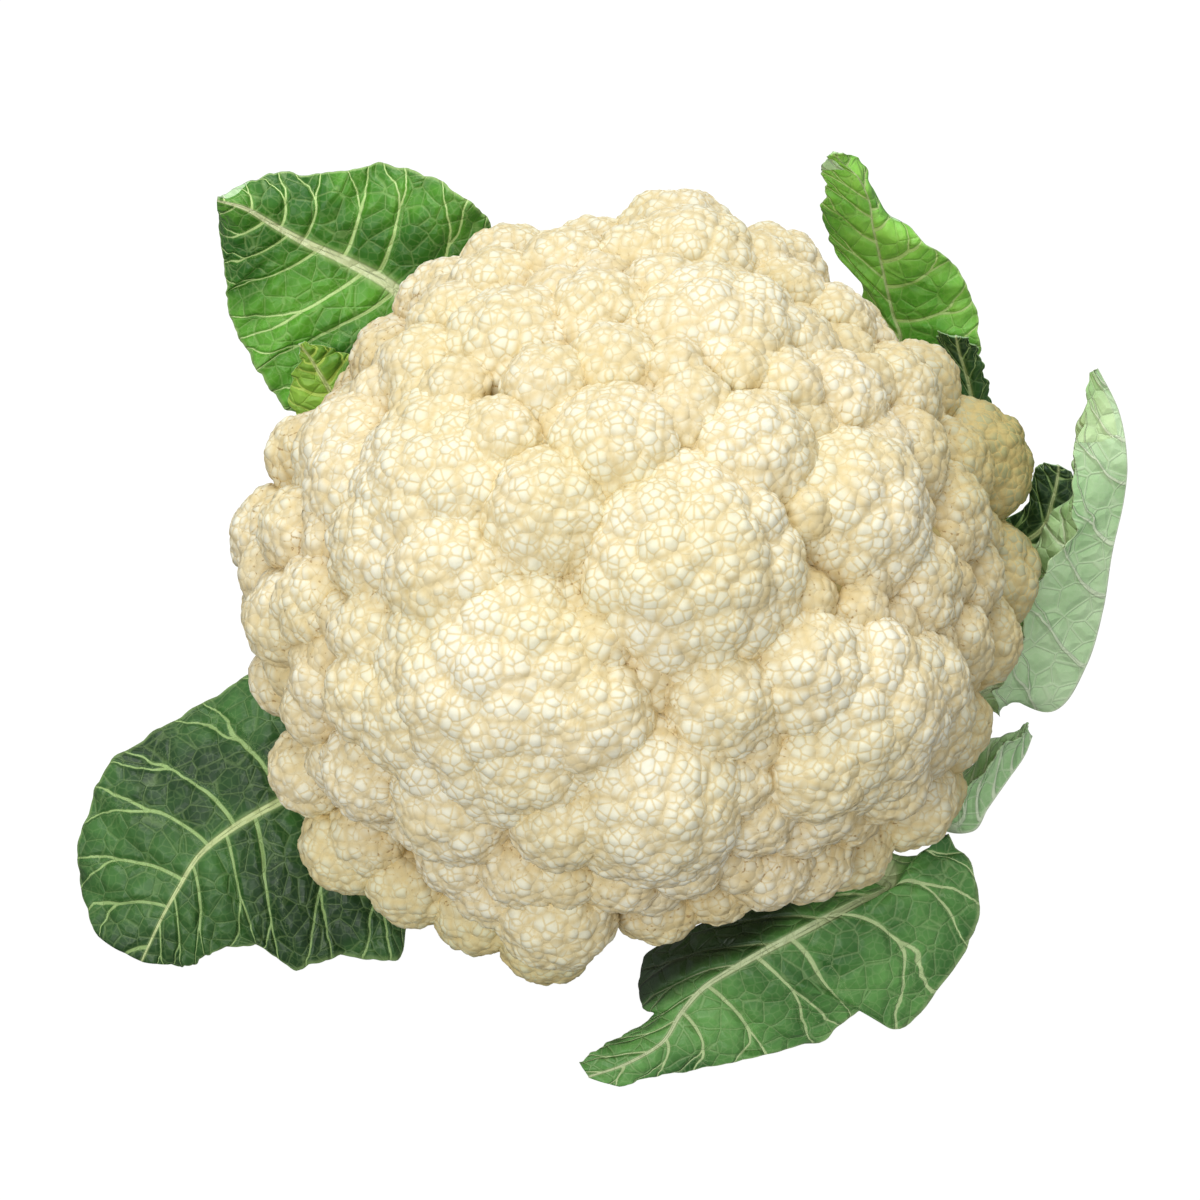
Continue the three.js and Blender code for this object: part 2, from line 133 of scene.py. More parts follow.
# Leaves, as stations: see the same values in the model. A petiole's middle line, then from the blade's foot
# to its tip a point of the midrib, of the left margin and of the right margin.
LEAVES = {
    "leaf_back_left": dict(
        petiole=[[-11, 20, 9], [-25, 52, 18]],
        blade=[
            [[-36, 75, 34], [-47, 72, 36], [-27, 82, 42]],
            [[-43, 88, 55], [-64, 76, 46], [-28, 100, 79]],
            [[-52, 92, 76], [-79, 71, 58], [-32, 103, 92]],
            [[-63, 96, 82], [-86, 80, 64], [-44, 108, 99]],
            [[-73, 98, 87], [-92, 89, 70], [-58, 111, 99]],
            [[-80, 99, 92], [-93, 95, 77], [-71, 111, 97]],
            [[-87, 99, 99], [-94, 101, 85], [-82, 108, 99]],
            [[-93, 99, 102], [-94, 104, 91], [-90, 104, 100]],
        ],
        size=1, fine=(124, 56), veins=8, length=95, tooth=0.5, colours="bright", slimming=0.5,
    ),
    "leaf_back_left_small": dict(
        petiole=[[-15, 12, 25], [-38, 36, 31], [-57, 57, 42]],
        blade=[
            [[-65, 69, 56], [-73, 66, 52], [-56, 75, 56]],
            [[-68, 72, 63], [-77, 70, 60], [-59, 78, 63]],
            [[-71, 75, 68], [-77, 74, 66], [-63, 79, 68]],
            [[-73, 77, 71], [-75, 76, 70], [-68, 79, 71]],
            [[-75, 78, 74], [-75, 78, 73], [-74, 79, 74]],
        ],
        size=0.65, fine=(76, 36), veins=5, length=24, tooth=1.1, colours="young",
    ),
    "leaf_front_left": dict(
        petiole=[[-21, -4, 9], [-42, -7, 15]],
        blade=[
            [[-56, -9, 19], [-49, -25, 12], [-56, 8, 20]],
            [[-70, -12, 23], [-51, -46, 3], [-74, 23, 22]],
            [[-81, -19, 25], [-64, -46, 3], [-88, 18, 22]],
            [[-90, -24, 23], [-75, -49, 2], [-103, 8, 22]],
            [[-97, -29, 20], [-84, -46, 8], [-117, -2, 20]],
            [[-102, -35, 15], [-94, -46, 5], [-124, -14, 15]],
            [[-106, -40, 10], [-100, -48, 2], [-127, -29, 9]],
            [[-111, -47, 2], [-106, -48, 2], [-121, -41, 3]],
        ],
        size=1, fine=(124, 56), veins=7, length=75, tooth=0.6, colours="dark",
    ),
    "leaf_front_right": dict(
        petiole=[[15, -15, 9], [37, -25, 15], [55, -33, 22]],
        blade=[
            [[62, -41, 27], [76, -29, 28], [50, -34, 17]],
            [[54, -46, 28], [82, -40, 24], [40, -36, 15]],
            [[45, -51, 28], [79, -51, 16], [28, -37, 14]],
            [[36, -55, 26], [64, -65, 3], [19, -43, 13]],
            [[27, -59, 23], [55, -64, 10], [6, -50, 10]],
            [[19, -62, 18], [46, -69, 4], [5, -60, 7]],
            [[14, -66, 13], [32, -72, 4], [8, -63, 7]],
            [[10, -71, 9], [18, -75, 3], [2, -68, 7]],
            [[2, -75, 6], [8, -77, 3], [-4, -71, 6]],
            [[-7, -77, 3], [0, -79, 2], [-9, -74, 4]],
        ],
        size=1, fine=(132, 56), veins=8, length=88, tooth=0.5, colours="blue",
    ),
    "leaf_right": dict(
        petiole=[[20, 3, 25], [48, 3, 30], [76, 3, 35]],
        blade=[
            [[88, 4, 40], [88, 12, 38], [87, -7, 46]],
            [[99, -4, 46], [91, 12, 44], [86, -8, 54]],
            [[105, 1, 56], [90, 12, 53], [88, -1, 63]],
            [[108, 8, 68], [91, 15, 62], [91, 4, 73]],
            [[109, 14, 82], [95, 21, 72], [96, 10, 83]],
            [[111, 21, 93], [99, 27, 81], [100, 15, 92]],
            [[111, 25, 102], [102, 31, 93], [101, 25, 102]],
            [[109, 32, 110], [103, 36, 102], [102, 32, 110]],
            [[104, 38, 118], [104, 39, 115], [103, 38, 117]],
        ],
        size=0.85, fine=(124, 50), veins=7, length=98, tooth=0.4, colours="pale",
    ),
    "leaf_right_low": dict(
        petiole=[[22, -1, 9], [48, -3, 13], [70, -13, 19]],
        blade=[
            [[81, -24, 25], [80, -10, 22], [78, -22, 33]],
            [[84, -21, 29], [86, -5, 25], [82, -18, 37]],
            [[89, -15, 32], [90, -1, 27], [87, -12, 41]],
            [[93, -10, 34], [94, 1, 29], [92, -9, 40]],
            [[95, -6, 36], [95, -1, 33], [94, -6, 38]],
        ],
        size=0.7, fine=(76, 38), veins=5, length=25, tooth=0.8, colours="pale",
    ),
    "leaf_right_small": dict(
        petiole=[[14, 15, 26], [44, 25, 33], [70, 31, 42]],
        blade=[
            [[84, 33, 50], [80, 42, 50], [88, 25, 48]],
            [[98, 35, 60], [94, 39, 62], [98, 28, 57]],
            [[100, 39, 66], [95, 41, 68], [106, 36, 62]],
            [[101, 43, 71], [96, 43, 73], [106, 41, 67]],
            [[101, 44, 73], [98, 44, 74], [104, 44, 71]],
        ],
        size=0.6, fine=(76, 36), veins=4, length=28, tooth=0.4, colours="dark",
    ),
    "leaf_back_right": dict(
        petiole=[[4, 23, 9], [28, 53, 18]],
        blade=[
            [[52, 76, 36], [44, 82, 38], [61, 72, 38]],
            [[67, 84, 66], [55, 92, 65], [85, 81, 62]],
            [[65, 89, 72], [58, 93, 77], [85, 84, 72]],
            [[63, 93, 79], [51, 97, 85], [82, 89, 80]],
            [[61, 96, 87], [49, 99, 89], [76, 93, 88]],
            [[59, 98, 95], [47, 100, 98], [67, 99, 93]],
            [[58, 100, 100], [48, 101, 103], [63, 103, 92]],
            [[55, 101, 107], [47, 102, 108], [59, 108, 98]],
            [[51, 102, 111], [48, 102, 113], [55, 110, 103]],
            [[49, 102, 115], [48, 102, 114], [51, 102, 115]],
        ],
        size=0.9, fine=(132, 50), veins=9, length=80, tooth=0.5, colours="back", slimming=0.88,
    ),
    "leaf_back_right_small": dict(
        petiole=[[18, 14, 10], [43, 35, 18], [64, 50, 34]],
        blade=[
            [[74, 58, 48], [66, 66, 52], [82, 50, 46]],
            [[84, 64, 58], [77, 65, 62], [87, 65, 58]],
            [[83, 66, 67], [78, 68, 71], [87, 68, 67]],
            [[81, 69, 75], [76, 71, 79], [85, 69, 75]],
            [[79, 71, 81], [74, 73, 84], [83, 71, 81]],
            [[78, 72, 85], [75, 72, 86], [80, 72, 85]],
        ],
        size=0.65, fine=(76, 36), veins=5, length=45, tooth=0.9, colours="dark",
    ),
}
BLADE_THICKNESS = 0.9
MARGIN_THINNING = 0.55
PETIOLE_HALF_WIDTH = 7
PETIOLE_DEPTH = 8
TIP_HALF_WIDTH = 0.7
TIP_DEPTH = 0.7
CLOSED_WIDTH = 1.5  # how far a petiole's wings stand out before the blade opens
RIB_ZONE = 0.12  # the share of a leaf's columns that its midrib takes
RIB_DISH = 0.1
RIB_ROUND = 0.86
USUAL_SLIMMING = 0.68  # how much the midrib narrows where the blade has opened
LEAST_HEIGHT = 0.3  # leaves stay this far above the floor

# Along a petiole, as shares of its length: where the rows become close, where it begins to thin, where it
# has turned into the blade's plane, and where the blade begins to open.
PETIOLE_SPARSE = 0.75
PETIOLE_THINS = 0.5
PETIOLE_TURNS = 0.6
PETIOLE_OPENS = 0.8

# A blade's relief: an arch on each side, a swell between side veins, and waves as height, length, and how
# far they lean over a side and over its columns. Teeth at the margin are two waves, of these lengths.
ARCH = 0.9
SWELL = 1.2
RIPPLE = 1.3
RIPPLE_GROWTH = 1.3  # the power of the way out to the margin with which the waves grow
FULL_WIDTH = 22  # the width of a side at which its relief is whole
WAVES = [(1.5, 31, 0.9, 0), (0.8, 13, 1.7, 1.5), (0.35, 6.1, -1, 0)]
TOOTH_LENGTHS = (7.3, 6.2)
TOOTH_LEAN = 1.3
SWELL_STEEPNESS = 4
SWELL_POWER = 0.7
LEAST_RIB = 0.4  # keeps the distance from the midrib finite where that ends

VEIN_STAGGER = 0.27  # how far the side veins of one side are ahead of the other's, in steps between veins
VEIN_SLANT = 1.2  # how far a side vein runs towards the tip, in steps between veins
VEIN_BEND = 1.3  # the power of the way out to the margin with which it does

# The stalk, as radius and height.
STALK_PROFILE = [[0, 0], [21.5, 0], [23, 1.5], [22, 9], [22.5, 20], [25, 31], [27, 41], [0, 41]]
STALK_COLUMNS = 144
STALK_STEPS = 10  # rows for each stretch of the profile
FACE_RADIUS = 22  # the cut face lies within this
RIND_RADIUS = 20  # flutes and scars lie outside this
FLUTES_FADE = 3  # and are whole this far above the cut
FLUTES = [(0.35, 9, 0.4), (0.2, 23, 1)]  # relief, number round the stalk, and phase
SCAR_HEIGHT = 6
SCAR_SLOPE = 2
SCAR_RELIEF = 0.5
SCAR_WIDTH = 1.1

# The camera looks down on the head from the side that the front leaves lie on.
CAMERA_ELEVATION = 57
CAMERA_DISTANCE = 800
CAMERA_TARGET = (0, 0, 88)
MM_PER_PIXEL = 0.22
PHOTO_SIDE = 1200
TARGET_PIXEL = (620, 590)
SENSOR = 36

SMALL_STEP = 1e-3  # a share of a line, for its direction

# Lights: the way towards each, its distance and size in metres, and its strength.
LIGHTS = [["key", (0.0, 0.5, 0.8), 1.25, 1.1, 0.59], ["fill", (-0.3, -0.62, 0.72), 1.25, 1.0, 0.42]]
SKY_ABOVE = 0.56
SKY_BELOW = 0.2
SKY_BLEND = 0.5  # the way up or down at which the sky has reached these
FLOOR_REACH = 4


def way_to(azimuth, tilt):
    """Unit vectors at an azimuth from +X and a tilt from +Z, in degrees."""
    azimuth, tilt = np.broadcast_arrays(np.radians(azimuth), np.radians(tilt))
    return np.stack([np.sin(tilt) * np.cos(azimuth), np.sin(tilt) * np.sin(azimuth), np.cos(tilt)], -1)


def egg_reach(way, radius=HEAD_RADIUS, drop=HEAD_DROP):
    """How far the head, or another egg of its rise, reaches along a unit vector: one over the length of the
    vector scaled by the egg's half-axes."""
    flat = (way[..., 0] ** 2 + way[..., 1] ** 2) / radius**2
    upright = (way[..., 2] / np.where(way[..., 2] > 0, HEAD_RISE, drop)) ** 2
    return 1 / np.sqrt(flat + upright)


def length_of(vectors):
    return np.sqrt((vectors**2).sum(-1, keepdims=True))


def unit(vectors):
    return vectors / length_of(vectors)


def turn_to(way):
    """The matrix that turns +Z to a unit vector by the shortest way."""
    x, y, z = way
    k = 1 / (1 + z)
    return np.array([[1 - x * x * k, -x * y * k, x], [-x * y * k, 1 - y * y * k, y], [-x, -y, z]])


def spiral(count, spread):
    """Unit vectors round +Z, a golden angle apart, each with an equal share of the cap, and their tilts."""
    k = np.arange(count)
    share = (k + 0.4) / count
    tilt = np.degrees(np.arccos(1 - (1 - np.cos(np.radians(spread))) * share))
    return way_to(k * GOLDEN_ANGLE, tilt), tilt


def come_from(value, low, high):
    """How far a value has come from low to high, as a share from 0 to 1."""
    return np.clip((value - low) / (high - low), 0, 1)


def tuck_of(way, tilt):
    """How far the head draws in along a unit vector: more the further it points left or to the front below
    the rim, and within a cone round the notch."""
    under = np.clip(-TUCK_GAIN * way[..., :2].min(-1), 0, 1) * come_from(tilt, *TUCK_TILTS)
    notch = come_from(way @ way_to(*NOTCH), *NOTCH_COSINES)
    return np.maximum(FRONT_TUCK * under, NOTCH_TUCK * notch)


def all_florets():
    """The front florets, then a floret at each place of a spiral that is clear of those already there."""
    florets = [(way_to(azimuth, tilt), radius, proud, 0) for azimuth, tilt, radius, proud in FRONT_FLORETS]
    for count, radius, proud, room in SPIRALS:
        for k in range(count):
            share = (k + 0.5) / count
            tilt = np.degrees(np.arccos(1 - (1 - np.cos(np.radians(SPIRAL_LAST_TILT))) * share))
            way = way_to(k * GOLDEN_ANGLE, tilt)
            there = np.array([other for other, *_ in florets])
            sizes = np.array([size for _, size, *_ in florets])
            apart = np.arccos(np.minimum(1, there @ way)) * HEAD_RADIUS - (radius + sizes) * room
            way = unit(way + draw.normal(0, SPIRAL_JITTER, 3))
            if apart.min() > 0:
                florets.append((way, radius, proud, tuck_of(way, tilt)))
    return florets


def disc_grid(count):
    """A square grid bent to a disc: each point's reach and turn, the grid's numbers, and its outer loop."""
    steps = np.linspace(-1, 1, count)
    a, b = np.meshgrid(steps, steps, indexing="ij")
    wide = np.abs(a) >= np.abs(b)
    long, short = np.where(wide, a, b), np.where(wide, b, a)
    ratio = short / np.where(long == 0, 1, long) * np.pi / 4
    turn = np.where(wide, ratio, np.pi / 2 - ratio)
    turn = turn + np.where(long < 0, np.pi, 0)
    index = np.arange(count * count).reshape(count, count)
    loop = np.concatenate([index[:-1, 0], index[-1, :-1], index[:0:-1, -1], index[0, :0:-1]])
    return np.abs(long).ravel(), turn.ravel(), index, loop


def grid_quads(index):
    """The four-sided faces of a grid of vertex numbers, facing along rows cross columns."""
    return np.stack([index[:-1, :-1], index[1:, :-1], index[1:, 1:], index[:-1, 1:]], -1).reshape(-1, 4)


def round_faces(rows, around, rising=False):
    """The faces of rows of points round the axis, from the top down or rising, with a fan at either end to
    the two points that come after the rows."""
    index = np.arange(rows * around).reshape(rows, around)
    index = np.concatenate([index, index[:, :1]], 1)
    first = np.stack([np.full(around, rows * around), index[0, :-1], index[0, 1:]], -1)
    last = np.stack([np.full(around, rows * around + 1), index[-1, 1:], index[-1, :-1]], -1)
    quads, fans = grid_quads(index), np.concatenate([first, last])
    if rising:
        quads, fans = quads[:, ::-1], fans[:, [0, 2, 1]]
    return quads.tolist() + fans.tolist()


def heap(own):
    """A floret's balls, a core and the lobes round it, as middles and radii from the floret's middle."""
    size = np.clip(own * LOBE_SHARE, *LOBE_RANGE)
    lobes, tilts = spiral(int(LOBES_PER_RATIO * (own / size) ** 2), LOBE_SPREAD)
    lobes = unit(lobes + draw.normal(0, LOBE_JITTER, lobes.shape))
    growth = LOBE_GROWTH[0] + (LOBE_GROWTH[1] - LOBE_GROWTH[0]) * tilts / LOBE_SPREAD
    sizes = size * growth * draw.uniform(*LOBE_SIZES, len(lobes))
    reaches = own - sizes * draw.uniform(*LOBE_DEPTHS, len(lobes))
    return np.vstack([np.zeros(3), lobes * reaches[:, None]]), np.append(own * FLORET_CORE, sizes)


def outside_of(ways, middles, radii):
    """How far rays from the origin go until they leave the last ball, which ball that is, and how far
    behind it the next ball is left: the way along to a ball's nearest point, and on by the square root of
    its radius squared less its distance aside squared."""
    along = ways @ middles.T
    left = radii**2 - (middles**2).sum(1) + along**2
    reach = np.where(left > 0, along + np.sqrt(np.maximum(left, 0)), 0)
    which = reach.argmax(1)
    two = np.partition(reach, -2, axis=1)[:, -2:]
    return two[:, 1], which, two[:, 1] - two[:, 0]


def buds_on(points, middles, radii, which, size):
    """The buds that lift a lobe's surface: how high, from 0 in the creases to 1, the way out, each bud's
    own share of the height, and the crease, which is 1 where two buds meet. A bud is one less the squared
    distance to the nearest point of a turned lattice on the lobe's ball, over the bud's radius squared. The
    crease fades with the difference between the distances to the nearest two points."""
    spacing = BUD_SPACING * draw.uniform(*BUD_SPACINGS)
    lattice, _ = spiral(int(4 * np.pi * size**2 / (HEXAGON * spacing**2)), 180)
    turns = random_turns(len(radii))
    out = unit(points - middles[which])
    nearness = np.einsum("vij,vj->vi", turns[which], out) @ lattice.T
    nearest = nearness.argmax(1)
    two = np.partition(nearness, -2, axis=1)[:, -2:]
    apart = radii[which][:, None] * np.sqrt(np.maximum(2 - 2 * two, 0))
    lift = np.clip(1 - (apart[:, 1] / (BUD_REACH * spacing)) ** 2, 0, 1)
    crease = np.exp(-(((apart[:, 0] - apart[:, 1]) / CREASE_WIDTH) ** 2))
    heights = draw.uniform(*BUD_HEIGHTS, (len(radii), len(lattice)))
    return np.where(which == 0, 0, lift), out, heights[which, nearest], crease


def random_turns(count):
    """Random rotations, as the matrices of unit quaternions."""
    w, x, y, z = unit(draw.normal(size=(count, 4))).T
    rows = [
        [1 - 2 * (y * y + z * z), 2 * (x * y - w * z), 2 * (x * z + w * y)],
        [2 * (x * y + w * z), 1 - 2 * (x * x + z * z), 2 * (y * z - w * x)],
        [2 * (x * z - w * y), 2 * (y * z + w * x), 1 - 2 * (x * x + y * y)],
    ]
    return np.moveaxis(np.array(rows), -1, 0)


def floret(way, radius, proud, tuck, spacing):
    """One closed floret: a disc grid laid on a sphere's cap with equal areas, pushed out to the heap of
    balls and their buds, and drawn in under the cap to a root inside the head. Gives points, quads,
    triangles and shades."""
    own = radius * FLORET_SWELL
    cap = 1 - np.cos(np.radians(CAP_EDGE))
    count = int(np.sqrt(2 * np.pi * own**2 * cap) / spacing)
    reach, turn, index, loop = disc_grid(count)
    tilt = np.degrees(np.arccos(1 - cap * reach**2))
    ways = way_to(np.degrees(turn), tilt)
    middles, radii = heap(own)
    far, which, ahead = outside_of(ways, middles, radii)
    points = ways * far[:, None]
    lift, out, heights, crease = buds_on(points, middles, radii, which, np.median(radii))
    points = points + out * (BUD_HEIGHT * (lift * heights - 0.5))[:, None]
    seam = np.exp(-ahead / SEAM_FADE)
    hollow = come_from(own - far, 0, own * HOLLOW_DEPTH)
    edge = points[loop]
    ring = edge * [ROOT_NECK, ROOT_NECK, 1] - [0, 0, own * ROOT_DEPTHS[0]]
    root = np.array([[0, 0, -own * ROOT_DEPTHS[1]]])
    points = np.concatenate([points, ring, root])
    first = count * count
    inner = first + np.arange(len(loop))
    last = first + len(loop)
    skirt = np.stack([inner, np.roll(inner, -1), np.roll(loop, -1), loop], -1)
    fan = np.stack([np.full(len(loop), last), np.roll(inner, -1), inner], -1)
    quads = np.concatenate([grid_quads(index), skirt])
    middle = way * (egg_reach(way) + proud - tuck - own)
    points = points @ turn_to(way).T + middle
    tail = np.ones(len(loop) + 1)
    crease = np.concatenate([np.maximum(crease * BUD_CREASE, seam), tail])
    hollow = np.concatenate([hollow, tail])
    sunk = egg_reach(unit(points)) - tuck - length_of(points)[:, 0]
    return points + [0, 0, HEAD_LEVEL], quads, fan, dict(crease=crease, hollow=hollow, sunk=sunk)


def new_object(name, data):
    """An object in the scene."""
    made = bpy.data.objects.new(name, data)
    bpy.context.scene.collection.objects.link(made)
    return made


def write_mesh(name, points, faces, shades, nodes, finish):
    """A piece from points in millimetres, faces, and one number a point for each named shade."""
    mesh = bpy.data.meshes.new(name)
    mesh.from_pydata(points * MM, [], faces, shade_flat=False)
    for shade, values in shades.items():
        layer = mesh.attributes.new(shade, "FLOAT", "POINT")
        layer.data.foreach_set("value", np.asarray(values, np.float32))
    mesh.materials.append(finish)
    mesh.update()
    piece = new_object(name, mesh)
    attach(piece, "root")
    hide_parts(*nodes)


def join(parts):
    """Several shapes as one: their points, faces and shades one after the other."""
    points, faces, shades, start = [], [], {}, 0
    for p, quads, fan, values in parts:
        points.append(p)
        faces.extend((quads + start).tolist())
        faces.extend((fan + start).tolist())
        for key, value in values.items():
            shades.setdefault(key, []).append(value)
        start += len(p)
    return np.concatenate(points), faces, {key: np.concatenate(value) for key, value in shades.items()}


# Finishes


def math_node(operation, swapped=False):
    """A method that adds a Math node, fed with a shade and the method's other values, or the other way
    round."""

    def method(shade, *others):
        values = (*others, shade) if swapped else (shade, *others)
        return shade.finish.node("ShaderNodeMath", dict(operation=operation), dict(enumerate(values)))

    return method


class Shade:
    """A socket of a material. Arithmetic on it adds Math nodes."""

    def __init__(self, finish, socket):
        self.finish, self.socket = finish, socket

    __add__ = math_node("ADD")
    __radd__ = math_node("ADD", swapped=True)
    __sub__ = math_node("SUBTRACT")
    __rsub__ = math_node("SUBTRACT", swapped=True)
    __mul__ = math_node("MULTIPLY")
    __rmul__ = math_node("MULTIPLY", swapped=True)
    __truediv__ = math_node("DIVIDE")
    __pow__ = math_node("POWER")
    __abs__ = math_node("ABSOLUTE")
    sine = math_node("SINE")
    least = math_node("MINIMUM")
    most = math_node("MAXIMUM")
    whole = math_node("FLOOR")

    def spread(self, low, high):
        """Smoothly from 0 to 1 as this value goes from low to high."""
        sockets = {"Value": self, "From Min": low, "From Max": high}
        return self.finish.node("ShaderNodeMapRange", dict(interpolation_type="SMOOTHSTEP"), sockets)

    def along(self, places):
        """The same between two places in millimetres."""
        low, high = places
        return self.spread(low * MM, high * MM)


class Finish:
    """A material with one shader."""

    def __init__(self, name, **constants):
        self.material = bpy.data.materials.new(name)
        self.material.use_nodes = True
        self.tree = self.material.node_tree
        self.tree.nodes.clear()
        self.shader = self.tree.nodes.new("ShaderNodeBsdfPrincipled")
        self.set(**constants)
        output = self.tree.nodes.new("ShaderNodeOutputMaterial")
        self.tree.links.new(self.shader.outputs[0], output.inputs["Surface"])

    def feed(self, socket, value):
        """Links a socket to a shade, or sets it to a number or a colour."""
        if isinstance(value, Shade):
            self.tree.links.new(value.socket, socket)
        elif isinstance(value, tuple) and len(value) == 3 and len(socket.default_value) == 4:
            socket.default_value = (*value, 1)
        else:
            socket.default_value = value

    def node(self, kind, settings, sockets, output=0):
        """Adds a node, sets it, feeds its sockets and gives one of its outputs."""
        made = self.tree.nodes.new(kind)
        for setting, value in settings.items():
            setattr(made, setting, value)
        for socket, value in sockets.items():
            self.feed(made.inputs[socket], value)
        return Shade(self, made.outputs[output])

    def set(self, **sockets):
        """Feeds the shader's own sockets."""
        for socket, value in sockets.items():
            self.feed(self.shader.inputs[socket.replace("_", " ")], value)

    def place(self):
        """Where a point lies on the object."""
        return self.node("ShaderNodeTexCoord", {}, {}, "Object")

    def axes(self):
        """The three coordinates of a place on the object."""
        place = self.place()
        return [self.node("ShaderNodeSeparateXYZ", {}, {0: place}, axis) for axis in "XYZ"]

    def shade(self, name):
        """The piece's own numbers of this name."""
        return self.node("ShaderNodeAttribute", dict(attribute_name=name), {}, "Fac")

    def noise(self, size, detail, roughness=0.5):
        """Noise whose lumps are about this many millimetres across."""
        sockets = {"Scale": 1 / (size * MM), "Detail": detail, "Roughness": roughness}
        return self.node("ShaderNodeTexNoise", {}, {"Vector": self.place(), **sockets}, "Fac")

    def cells(self, size, feature="F1"):
        """Distances in cells about this many millimetres across, as a share of their size."""
        sockets = {"Vector": self.place(), "Scale": 1 / (size * MM), "Randomness": CELL_RANDOMNESS}
        return self.node("ShaderNodeTexVoronoi", dict(feature=feature), sockets, "Distance")

    def blend(self, share, first, second):
        """The first colour, and the second by its share."""
        sockets = {0: share, 6: first, 7: second}
        return self.node("ShaderNodeMix", dict(data_type="RGBA"), sockets, 2)

    def bump(self, height, distance, strength):
        """A normal from heights of 0 to 1 that stand for this many millimetres."""
        sockets = {"Height": height, "Distance": distance * MM, "Strength": strength}
        return self.node("ShaderNodeBump", {}, sockets)


def srgb(red, green, blue):
    """A colour as the eye reads it, 0 to 255, as the light that it stands for."""
    parts = np.array([red, green, blue]) / 255
    light = np.where(parts <= 0.04045, parts / 12.92, ((parts + 0.055) / 1.055) ** 2.4)
    return tuple(float(v) for v in light)


CREAM = srgb(246, 244, 224)
WARM_CREAM = srgb(240, 236, 206)
# painted shade in the cracks between buds and the creases between florets, and a few speckles of the curd's
# own tint
TAN = srgb(221, 193, 122)
# painted shade where the creases lie deep
DEEP_SHADE_OCHRE = srgb(178, 140, 62)
# yellower low down: partly the curd's own tint, partly painted shade
LOW_YELLOW_AND_SHADE = srgb(222, 222, 162)
# painted shade at the bottom of the head
PAINTED_SHADE_LOW = srgb(110, 108, 58)
# olive at the far right: partly the curd's own greener tint, partly painted shade
FAR_OLIVE_AND_SHADE = srgb(142, 144, 72)
# painted shade in brown spots at the deepest places
SHADE_SPOT_BROWN = srgb(140, 96, 50)
# painted shade on the branches where florets hide them
SHADE_AMONG_FLORETS = srgb(196, 180, 120)

# Where the curd's tints and its painted shade change, as heights, or as places along X and Y, in
# millimetres.
LOW_YELLOW_AND_SHADE_HEIGHTS = (50, 92)
PAINTED_SHADE_LOW_HEIGHTS = (50, 72)
FAR_OLIVE_AND_SHADE_ACROSS = (56, 88)
FAR_OLIVE_AND_SHADE_FORTH = (-20, 26)
FLORETS_FROM = (48, 60)

# How deep under the head's outline the painted shade in the creases turns ochre, and how deep the brown
# spots of painted shade lie, in millimetres.
DEEP_SHADE_DEPTHS = (3.0, 11.0)
SHADE_SPOT_DEPTHS = (2.0, 7.0)
CRACK_WIDTH = 0.17  # of the cracks between cells, as a share of a cell


def curd_finish():
    """Cream in random patches; yellower towards the bottom, partly its own tint and partly painted shade,
    and darker at the bottom with painted shade; olive at the far right, partly its own tint and partly
    painted shade. Painted shade in tan in the cracks between buds and the creases between florets, in ochre
    where these are deep, and in a few brown spots, with a few tan speckles. Each cell is raised as a small
    dome."""
    curd = Finish("curd", Roughness=0.75, Specular_IOR_Level=0.18)
    crease, hollow, sunk = curd.shade("crease"), curd.shade("hollow"), curd.shade("sunk")
    patches = curd.noise(24, 1)
    base = curd.blend(patches.spread(0.3, 0.7), CREAM, WARM_CREAM)
    across, forth, height = curd.axes()
    # yellower towards the bottom: partly the curd's own tint, partly painted shade from the light above
    base = curd.blend((1 - height.along(LOW_YELLOW_AND_SHADE_HEIGHTS)) * 0.75, base, LOW_YELLOW_AND_SHADE)
    # painted shade: darker towards the bottom of the head
    base = curd.blend((1 - height.along(PAINTED_SHADE_LOW_HEIGHTS)) * 0.8, base, PAINTED_SHADE_LOW)
    # olive at the far right: partly the curd's own greener tint, partly painted shade
    far = across.along(FAR_OLIVE_AND_SHADE_ACROSS) * (forth.along(FAR_OLIVE_AND_SHADE_FORTH) * 0.5 + 0.3)
    base = curd.blend(far, base, FAR_OLIVE_AND_SHADE)
    speckle = curd.noise(1.1, 1, 0.7)
    # painted shade in the cracks between buds and the creases between florets, with a few tan speckles
    crack = 1 - curd.cells(CELL, "DISTANCE_TO_EDGE").spread(0.0, CRACK_WIDTH)
    fine = (crease.spread(0.05, 1.0) * 0.65).most(crack * 0.6) + speckle.spread(0.5, 0.8) * 0.1
    fine = fine.least(1)
    base = curd.blend(fine, base, TAN)
    # painted shade in the hollows between florets
    between = hollow.spread(0.25, 1.0) * 0.65
    base = curd.blend(between, base, TAN)
    # painted shade: ochre where the creases lie deep under the head's outline
    deep = sunk.spread(*DEEP_SHADE_DEPTHS)
    base = curd.blend(deep * (0.28 + hollow.spread(0.3, 1) * 0.6), base, DEEP_SHADE_OCHRE)
    # painted shade in brown spots at the deepest places
    shade_spots = speckle.spread(0.6, 0.7) * crack.spread(0.3, 0.9) * sunk.spread(*SHADE_SPOT_DEPTHS)
    base = curd.blend(shade_spots * 0.6, base, SHADE_SPOT_BROWN)
    curd.set(Base_Color=base)
    dome = 1 - curd.cells(CELL) ** 2
    curd.set(Normal=curd.bump(dome, 1.2, 0.62))
    return curd.material


